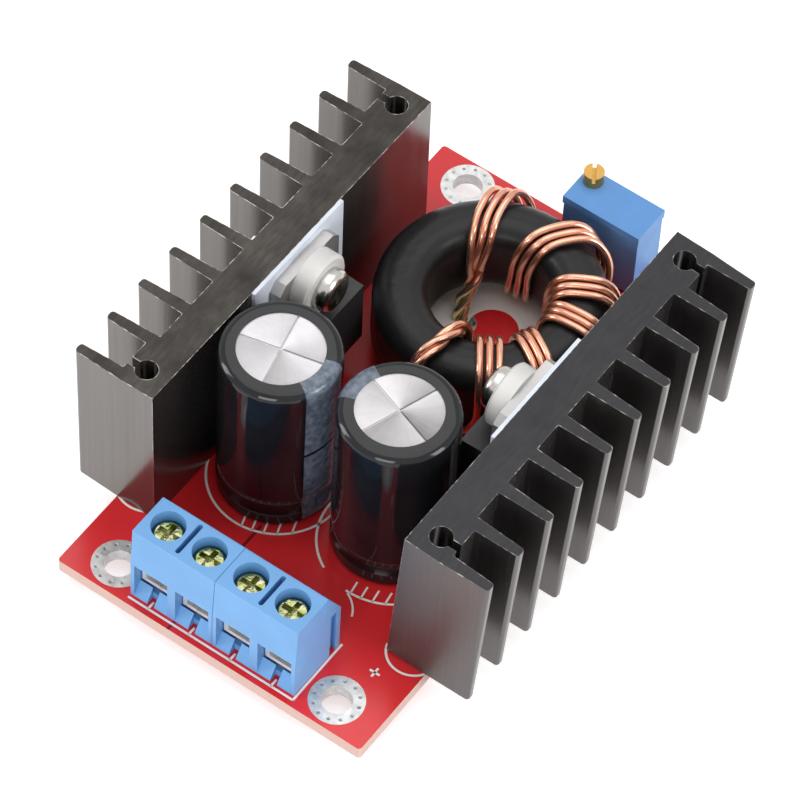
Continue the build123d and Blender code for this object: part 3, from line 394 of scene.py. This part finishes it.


# Two heatsinks of black anodised aluminium stand along the board's long edges. They are extruded
# upright, so fine die lines run up every face, and sawn off flat, so the top is rough and greyer.
# Their edges are worn to bare metal in places, and a faint pale line along all of them is a painted
# highlight.
def anodised(label, gloss, end_gloss, end_y, bare, grime, drawn_shades, sawn_shades):
    """Black anodised aluminium: drawn faces with upright die lines, sawn tops, wear and a painted
    highlight on edges.

    The outer faces beyond end_y, front and back, are handled most and have their own roughness.
    Along the edges, where the face and its rounded normal part, a faint pale line is painted as a
    highlight, and they wear through to bare metal where a fine noise is over the value bare;
    neither shows on the narrow steps of those outer faces. Up to the share grime of the sawn tops
    is stained dark.
    """
    finish, tree, place = new_finish(label)
    normal = put(tree, "NewGeometry").outputs["Normal"]
    facing = put(tree, "SeparateXYZ", {"Vector": normal})
    is_sawn = maths(tree, "GREATER_THAN", facing.outputs["Z"], square_on)
    upright = put(tree, "Mapping", {"Vector": place, "Scale": (1.0, 1.0, die_line_squeeze)})
    die_lines = put(tree, "TexNoise", {"Vector": upright, "Scale": 2400.0, "Detail": 3.0})
    swept = put(tree, "Mapping", {"Vector": place, "Scale": (1.0, saw_mark_squeeze, 1.0)})
    saw_marks = put(tree, "TexNoise", {"Vector": swept, "Scale": 2600.0, "Detail": 5.0})
    drawn = mixed(tree, die_lines, *drawn_shades)
    sawn = mixed(tree, saw_marks, *sawn_shades)
    stain = mottle(tree, place, 260, high=grime, detail=6.0)
    sawn = mixed(tree, stain, sawn, colour(24, 21, 20))

    spot = put(tree, "SeparateXYZ", {"Vector": place})
    from_middle = maths(tree, "SUBTRACT", spot.outputs["Y"], sum(end_y) / 2)
    from_middle = maths(tree, "ABSOLUTE", from_middle)
    is_end = maths(tree, "GREATER_THAN", from_middle, (end_y[1] - end_y[0]) / 2)
    sideways = maths(tree, "ABSOLUTE", facing.outputs["X"])
    in_step = maths(tree, "MULTIPLY", maths(tree, "GREATER_THAN", sideways, square_on), is_end)

    rounded = put(tree, "Bevel", {"Radius": wear_and_painted_highlight_width}, samples=16)
    edge_turn = put(
        tree, "VectorMath", {0: rounded.outputs["Normal"], 1: normal}, operation="DOT_PRODUCT"
    )
    edge = put(
        tree, "MapRange",
        {"Value": edge_turn.outputs["Value"], "From Min": wear_and_painted_highlight_from, "From Max": wear_and_painted_highlight_full},
    )
    flecks = put(tree, "TexNoise", {"Vector": place, "Scale": 1500.0, "Detail": 4.0})
    chips_and_painted_highlight = put(
        tree, "MapRange",
        {"Value": flecks.outputs["Fac"], "From Min": bare, "From Max": bare + bare_fade,
         "To Min": painted_edge_highlight},
    )
    wear_and_painted_highlight = maths(tree, "MULTIPLY", edge, chips_and_painted_highlight)
    wear_and_painted_highlight = maths(tree, "SUBTRACT", wear_and_painted_highlight, in_step, use_clamp=True)
    # Pale metal: faintly along every edge as a painted highlight, fully where the edge is worn
    # bare.
    tint = mixed(tree, wear_and_painted_highlight, mixed(tree, is_sawn, drawn, sawn), colour(214, 208, 202))

    drawn_rough = put(tree, "MapRange", {"Value": is_end, "To Min": gloss, "To Max": end_gloss})
    rough = blended(tree, is_sawn, drawn_rough, sawn_rough)
    stray = mottle(tree, upright, 500, low=-rough_stray, high=rough_stray)
    rough = maths(tree, "ADD", rough, stray)
    grain = blended(tree, is_sawn, die_lines, saw_marks)
    coat(tree, tint, rough, grain, depth=0.000003, Metallic=0.9)
    return finish


square_on = 0.9
die_line_squeeze = 0.012
saw_mark_squeeze = 0.2
sawn_rough = 0.5
rough_stray = 0.03
wear_and_painted_highlight_width = 0.0002
wear_and_painted_highlight_from = 0.97
wear_and_painted_highlight_full = 0.84
# The share of pale metal along every edge: a painted highlight where there is no wear.
painted_edge_highlight = 0.1
bare_fade = 0.18
left_anodised = anodised(
    "glossy_anodised", gloss=0.21, end_gloss=0.2, end_y=(-0.0235, 0.0229), bare=0.43, grime=0.6,
    drawn_shades=(colour(104, 100, 97), colour(124, 119, 116)),
    sawn_shades=(colour(58, 55, 52), colour(94, 90, 86)),
)
right_anodised = anodised(
    "satin_anodised", gloss=0.25, end_gloss=0.42, end_y=(-0.0222, 0.0242), bare=0.5, grime=0.15,
    drawn_shades=(colour(94, 91, 90), colour(110, 107, 106)),
    sawn_shades=(colour(50, 50, 52), colour(66, 66, 68)),
)
dress(left_anodised, "heatsink_left")
dress(right_anodised, "heatsink_right")


# Each power device is clamped to its heatsink over a pale silicone pad: a tinned copper tab, a
# black moulded body, a white insulating bush in the tab's hole and a nickel plated screw.
silicone = plain_finish(
    "silicone_pad", colour(213, 220, 231), rough=0.55, scale=1500, depth=0.00001
)
tab_metal = plain_finish(
    "tinned_tab", colour(178, 176, 174), rough=0.38, scale=1800, depth=0.000008, Metallic=0.8
)
moulding = plain_finish("moulded_epoxy", colour(44, 43, 44), rough=0.45, scale=3000, depth=0.000012)
bush_white = plain_finish("white_bush", colour(214, 213, 210), rough=0.4, scale=900, depth=0.000005)
nickel = plain_finish(
    "nickel_screw", colour(196, 193, 188), rough=0.22, scale=1600, depth=0.00001, Metallic=1.0
)
for side in ("left", "right"):
    dress(silicone, f"insulating_pad_{side}")
    dress(tab_metal, f"device_frame_{side}")
    dress(moulding, f"device_body_{side}")
    dress(bush_white, f"shoulder_washer_{side}")
    dress(nickel, f"clamp_screw_{side}")


# Two upright electrolytic capacitors: a drawn aluminium can in a glossy black shrink sleeve with a
# grey stripe along its negative side, a rubber seal under it and two tinned leads.
def angle_round(tree, place, centre, turn):
    """Angle of a point round a can's axis, measured from a direction given in degrees."""
    local = put(
        tree, "Mapping",
        {"Vector": place, "Location": (*centre, 0.0), "Rotation": (0.0, 0.0, math.radians(turn))},
        vector_type="TEXTURE",
    )
    spot = put(tree, "SeparateXYZ", {"Vector": local})
    return maths(tree, "ARCTAN2", spot.outputs["Y"], spot.outputs["X"])


def sleeve_finish(label, centre, stripe_turn):
    """Glossy black film with a mottled grey-blue stripe, broken by a minus bar at mid-height."""
    finish, tree, place = new_finish(label)
    aside = maths(tree, "ABSOLUTE", angle_round(tree, place, centre, stripe_turn))
    in_stripe = put(
        tree, "MapRange",
        {"Value": aside, "From Min": stripe_half + stripe_blur,
         "From Max": stripe_half - stripe_blur},
    )
    height = put(tree, "SeparateXYZ", {"Vector": place}).outputs["Z"]
    from_bar = maths(tree, "ABSOLUTE", maths(tree, "SUBTRACT", height, minus_height))
    off_bar = maths(tree, "GREATER_THAN", from_bar, minus_thickness / 2)
    in_stripe = maths(tree, "MULTIPLY", in_stripe, off_bar)
    film = mixed(tree, mottle(tree, place, 300), colour(18, 19, 22), colour(25, 26, 29))
    ink = mixed(
        tree, mottle(tree, place, 1500, detail=6.0), colour(72, 80, 94), colour(118, 128, 143)
    )
    gloss = mottle(tree, place, 260, low=0.07, high=0.14)
    creases = put(tree, "TexNoise", {"Vector": place, "Scale": 260.0, "Detail": 3.0})
    coat(
        tree, mixed(tree, in_stripe, film, ink), gloss, creases, depth=0.00003,
        Specular_IOR_Level=0.34,
    )
    return finish


def can_with_painted_shade(label, centre, turn, dark, light):
    """Drawn aluminium whose end is pressed into four quarters, with painted shade and light on
    them.

    A painted shade rises across each quarter, and a painted light follows the cosine of the angle
    round the axis; rays add radial streaks.
    """
    finish, tree, place = new_finish(label)
    around = angle_round(tree, place, centre, turn)
    # Painted shade across each quarter, darker at one of its lines and lighter at the other.
    painted_quarter_shade = maths(tree, "FRACT", maths(tree, "MULTIPLY", around, 2 / math.pi))
    # Painted light: one side of the end is lighter by the cosine of the angle round the axis.
    lean = maths(tree, "MULTIPLY", maths(tree, "COSINE", around), painted_side_light_share)
    on_circle = put(tree, "CombineXYZ", {"X": around})
    rays = put(tree, "TexNoise", {"Vector": on_circle, "Scale": 6.0, "Detail": 3.0})
    rays = maths(tree, "MULTIPLY", rays, ray_share)
    shade = maths(tree, "ADD", maths(tree, "ADD", painted_quarter_shade, lean), rays)
    shade = put(tree, "MapRange", {"Value": shade, "From Min": darkest, "From Max": lightest})
    tint = mixed(tree, shade, dark, light)
    gloss = mottle(tree, place, 700, low=0.3, high=0.46)
    coat(tree, tint, gloss, mottle(tree, place, 2400), depth=0.000006, Metallic=0.6)
    return finish


stripe_half = math.radians(25)
stripe_blur = 0.008
minus_height = 0.0128
minus_thickness = 0.0004
painted_side_light_share = 0.35
ray_share = 0.35
darkest = -0.1
lightest = 1.3
first_centre = (-0.00743, -0.01194)
second_centre = (0.00623, -0.01094)
dress(sleeve_finish("first_sleeve", first_centre, stripe_turn=-5), "capacitor_1_sleeve")
dress(sleeve_finish("second_sleeve", second_centre, stripe_turn=176), "capacitor_2_sleeve")
# The second can's darker range is painted shade, and each can's turn also aims its painted light.
first_can = can_with_painted_shade(
    "first_can", first_centre, 102, dark=colour(158, 155, 157), light=colour(210, 207, 210)
)
second_can = can_with_painted_shade(
    "second_can", second_centre, 161, dark=colour(126, 123, 125), light=colour(206, 203, 205)
)
dress(first_can, "capacitor_1_can")
dress(second_can, "capacitor_2_can")
rubber = plain_finish("rubber_seal", colour(40, 40, 40), rough=0.7, scale=1800, depth=0.00001)
dress(rubber, "capacitor_1_seal", "capacitor_2_seal")
lead_finish = plain_finish(
    "tinned_wire", colour(200, 198, 194), rough=0.3, scale=1500, depth=0.000006, Metallic=1.0
)
dress(lead_finish, "capacitor_1_leads", "capacitor_2_leads", "trimmer_pins", "heatsink_pins")


# The choke's core is a ring of pressed iron powder, standing on the board under its winding. Its
# tough black coating is satin and a little uneven.
core_coating = plain_finish(
    "coated_core", colour(29, 29, 30), rough=0.36, scale=700, depth=0.00003, spread=0.15,
    Specular_IOR_Level=0.28,
)
dress(core_coating, "toroid_core")


# The winding is three enamelled copper wires laid side by side and wound round the core seven
# times. It starts as a twisted, tinned tail inside the hole and ends as a twisted bundle in front.
def loop_line(turns):
    """Middle line of the winding: a squarish loop about the core's section that swings round it.

    A turn's fraction sets the direction in the section, from the inner wall over the top. The
    loop's reach there is (|cos / width|^n + |sin / height|^n)^(-1/n). The plane's angle goes from
    the turn's inner angle to its outer angle and on to the next, by a half cosine between them.
    Each turn stands off the core over its outer rim by its own slack, as a bell curve of the
    direction. Gives the line, the direction along the ring and the direction off the core.
    """
    knots = np.stack([inner_turns, outer_turns], axis=1).ravel()
    step = turns * 2
    before = np.minimum(step.astype(int), len(knots) - 2)
    ease = (1 - np.cos(np.pi * (step - before))) / 2
    plane = knots[before] + (knots[before + 1] - knots[before]) * ease
    way = np.pi - 2 * np.pi * turns
    lean = np.abs(np.cos(way) / loop_half_width) ** loop_squareness
    rise = np.abs(np.sin(way) / loop_half_height) ** loop_squareness
    reach = (lean + rise) ** (-1 / loop_squareness)
    loose = np.interp(turns, np.arange(len(slack)) + slack_place, slack)
    stray = np.angle(np.exp(1j * (way - slack_way)))
    reach = reach + loose * np.exp(-((stray / slack_spread) ** 2))
    radial = ring_middle + reach * np.cos(way)
    line = np.stack([
        ring_x + radial * np.cos(plane), ring_y + radial * np.sin(plane),
        ring_height + reach * np.sin(way),
    ], axis=1)
    sideways = np.stack([-np.sin(plane), np.cos(plane), np.zeros_like(plane)], axis=1)
    slope_out = np.sign(np.cos(way)) * lean / np.maximum(np.abs(np.cos(way)), tiny)
    slope_up = np.sign(np.sin(way)) * rise / np.maximum(np.abs(np.sin(way)), tiny)
    off = np.stack([slope_out * np.cos(plane), slope_out * np.sin(plane), slope_up], axis=1)
    return line, sideways, off / np.hypot(slope_out, slope_up)[:, None]


def strand_line(strand):
    """Middle line of one wire: the winding's middle line moved along the ring and off the core.

    Laid flat, a wire lies one pitch from the next and waves off the core by a sine of the progress.
    Twisted, it goes round a circle: along the ring by the radius times the cosine of an angle that
    grows with the progress, and off the core by the radius times one plus its sine. The share of
    the twist blends the two.
    """
    spin = 2 * np.pi * (
        np.maximum(progress - last_twist_start, 0) * last_twist_rate
        + np.minimum(progress, 0) * tail_twist_rate + strand / strand_count + twist_phase
    )
    flat = (strand - 1) * np.interp(progress, pitch_places, pitches)
    wave = stack_lift * (1 + np.sin(progress * stack_wave + stack_shift * strand))
    sideways = flat * (1 - twisted) + twist_radius * np.cos(spin) * twisted
    lifted = wave * (1 - twisted) + twist_radius * (1 + np.sin(spin)) * twisted
    return middle_line + sideways[:, None] * side_ways + lifted[:, None] * off_ways


def tube(label, line, guide, radius):
    """Carry a circle along a line: each ring lies square to it, its first spoke along the guide."""
    heading = np.gradient(line, axis=0)
    heading /= np.linalg.norm(heading, axis=1)[:, None]
    spoke = guide - (guide * heading).sum(axis=1)[:, None] * heading
    spoke /= np.linalg.norm(spoke, axis=1)[:, None]
    other = np.cross(heading, spoke)
    around = (np.arange(tube_sides) * 2 * np.pi / tube_sides)[None, :, None]
    rings = line[:, None] + radius * (
        np.cos(around) * spoke[:, None] + np.sin(around) * other[:, None]
    )
    ring_start = np.arange(len(line) - 1)[:, None] * tube_sides
    first = ring_start + np.arange(tube_sides)
    second = ring_start + (np.arange(tube_sides) + 1) % tube_sides
    walls = np.stack([first, second, second + tube_sides, first + tube_sides], axis=2)
    end_ring = np.arange(tube_sides)
    ends = [end_ring[::-1].tolist(), (end_ring + (len(line) - 1) * tube_sides).tolist()]
    return mesh_piece(label, rings.reshape(-1, 3), walls.reshape(-1, 4).tolist() + ends)


ring_x = 0.0003
ring_y = 0.014177
ring_middle = 0.0093
ring_height = 0.00745
loop_half_width = 0.0034
loop_half_height = 0.00535
loop_squareness = 3.2
tiny = 1e-9
inner_turns = np.radians([141, 93, 36, 9, -25, -57, -80])
outer_turns = np.radians([111, 61, 30, 6, -30, -56, -95])
slack = np.array([0.75, 0.7, 0.45, 0.2, 0.1, 0.05, 0.3]) / 1000
slack_place = 0.25
slack_way = math.radians(35)
slack_spread = math.radians(38)
steps_per_turn = 64
turn_count = len(inner_turns) - 0.5
turns = np.linspace(0, turn_count, int(turn_count * steps_per_turn))
loops, loop_side, loop_off = loop_line(turns)

lead_foot = -0.00165
tail_foot = np.array([-0.003467, 0.015186])
tail_bow = np.array([-0.0007, -0.0004])
tail_steps = 40
rise = np.linspace(0, 1, tail_steps)
tail_ease = (1 - np.cos(np.pi * rise[:, None])) / 2
tail_swell = np.sin(np.pi * rise[:, None]) ** 2
tail = np.column_stack([
    tail_foot + (loops[0, :2] - tail_foot) * tail_ease + tail_bow * tail_swell,
    lead_foot + (loops[0, 2] - lead_foot) * rise,
])[:-1]
drop_steps = 13
drop = np.linspace(0, 1, drop_steps + 1)[1:]
fall = np.tile(loops[-1], (drop_steps, 1))
fall[:, 2] += (lead_foot - loops[-1, 2]) * drop
middle_line = np.concatenate([tail, loops, fall])
ends_as_loops = ((len(tail), len(fall)), (0, 0))
side_ways = np.pad(loop_side, ends_as_loops, mode="edge")
off_ways = np.pad(loop_off, ends_as_loops, mode="edge")

# Progress counts the turns. It runs from -1 to 0 up the tail and goes on down the last wires.
drop_progress = 0.3
progress = np.concatenate([rise[:-1] - 1, turns, turns[-1] + drop * drop_progress])
gather_and_part = [0, 1, 1, 0]
tail_twist_places = [-0.85, -0.6, -0.14, 0.16]
last_twist_places = [5.9, 6.05, 6.45, 6.6]
tinning_places = [-0.3, -0.1]
twisted = (
    np.interp(progress, tail_twist_places, gather_and_part)
    + np.interp(progress, last_twist_places, gather_and_part)
)
tinning = np.interp(progress, tinning_places, [1, 0])
inner_pitch = np.array([0.86, 1.0, 0.92, 0.86, 0.86, 1.0, 0.9]) / 1000
outer_pitch = np.array([1.4, 1.25, 1.1, 0.95, 0.9, 1.04, 0.9]) / 1000
pitches = np.stack([inner_pitch, outer_pitch], axis=1).ravel()
pitch_places = np.arange(len(pitches)) / 2

copper_finish, tree, place = new_finish("enamelled_copper")
tinned = put(tree, "Attribute", attribute_name="tinned").outputs["Fac"]
enamel = mixed(tree, mottle(tree, place, 300), colour(214, 150, 124), colour(240, 184, 158))
wire_tint = mixed(tree, tinned, enamel, colour(226, 208, 164))
wire_rough = mottle(tree, place, 500, low=0.16, high=0.25)
coat(tree, wire_tint, wire_rough, mottle(tree, place, 800), depth=0.000003, Metallic=0.88)

strand_count = 3
wire_radius = 0.0004
tube_sides = 12
twist_radius = 0.00047
twist_phase = 0.5
tail_twist_rate = 1.5
last_twist_start = 5.5
last_twist_rate = 4
stack_lift = 0.00005
stack_wave = 7.3
stack_shift = 2.1
for strand in range(strand_count):
    wire = tube(f"copper_wire_{strand + 1}", strand_line(strand), off_ways, wire_radius)
    tag = wire.data.attributes.new("tinned", "FLOAT", "POINT")
    tag.data.foreach_set("value", np.repeat(tinning, tube_sides))
    wire.data.materials.append(copper_finish)
    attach(wire, "module")
    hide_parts(f"winding_strand_{strand + 1}")


# The screw terminal: two sky blue mouldings keyed together, each with two poles. Plated contacts
# and rising clamps sit in the chambers, under zinc plated screws with a yellow passivated shine.
poles = (1, 2, 3, 4)
terminal_finish = plain_finish(
    "blue_moulding", colour(104, 160, 214), rough=0.36, scale=1200, depth=0.000008, spread=0.05
)
dress(terminal_finish, "terminal_housing_left", "terminal_housing_right")
contact_finish = plain_finish(
    "tinned_brass", colour(196, 192, 184), rough=0.3, scale=1500, depth=0.000006, Metallic=1.0
)
dress(contact_finish, "terminal_contacts")
# The clamps' pale plating is raised nearly to white and made half diffuse: partly their own colour,
# partly a painted reflection of the bright floor in front of them.
clamp_with_painted_reflection = plain_finish(
    "plated_clamp", colour(236, 234, 230), rough=0.3, scale=1500, depth=0.000006, Metallic=0.5
)
dress(clamp_with_painted_reflection, *[f"wire_clamp_{pole}" for pole in poles])
zinc_finish, tree, place = new_finish("yellow_zinc")
zinc_tint = mixed(tree, mottle(tree, place, 1000), colour(128, 134, 46), colour(178, 178, 150))
zinc_rough = mottle(tree, place, 700, low=0.12, high=0.24)
coat(tree, zinc_tint, zinc_rough, mottle(tree, place, 900), depth=0.00008, Metallic=1.0)
dress(zinc_finish, *[f"terminal_screw_{pole}" for pole in poles])


# The trimmer is a blue moulded case that stands on three pins soldered to the board. A slotted
# brass screw is set in its top.
case_finish = plain_finish(
    "deep_blue_moulding", colour(92, 148, 210), rough=0.42, scale=1400, depth=0.00001, spread=0.06
)
dress(case_finish, "trimmer_housing")
brass = plain_finish(
    "turned_brass", colour(190, 150, 82), rough=0.32, scale=1800, depth=0.000008, Metallic=1.0
)
dress(brass, "trimmer_screw")


# The underside: bright solder round the pins that come through the board, and the small surface
# parts, in matte black epoxy, that are soldered there.
solder = plain_finish(
    "solder", colour(206, 206, 204), rough=0.3, scale=1200, depth=0.00002, Metallic=0.95
)
dress(solder, "solder_joints")
chip_epoxy = plain_finish("chip_epoxy", colour(42, 42, 43), rough=0.5, scale=2600, depth=0.00001)
dress(chip_epoxy, "control_chip", "sense_resistor", "chip_parts")
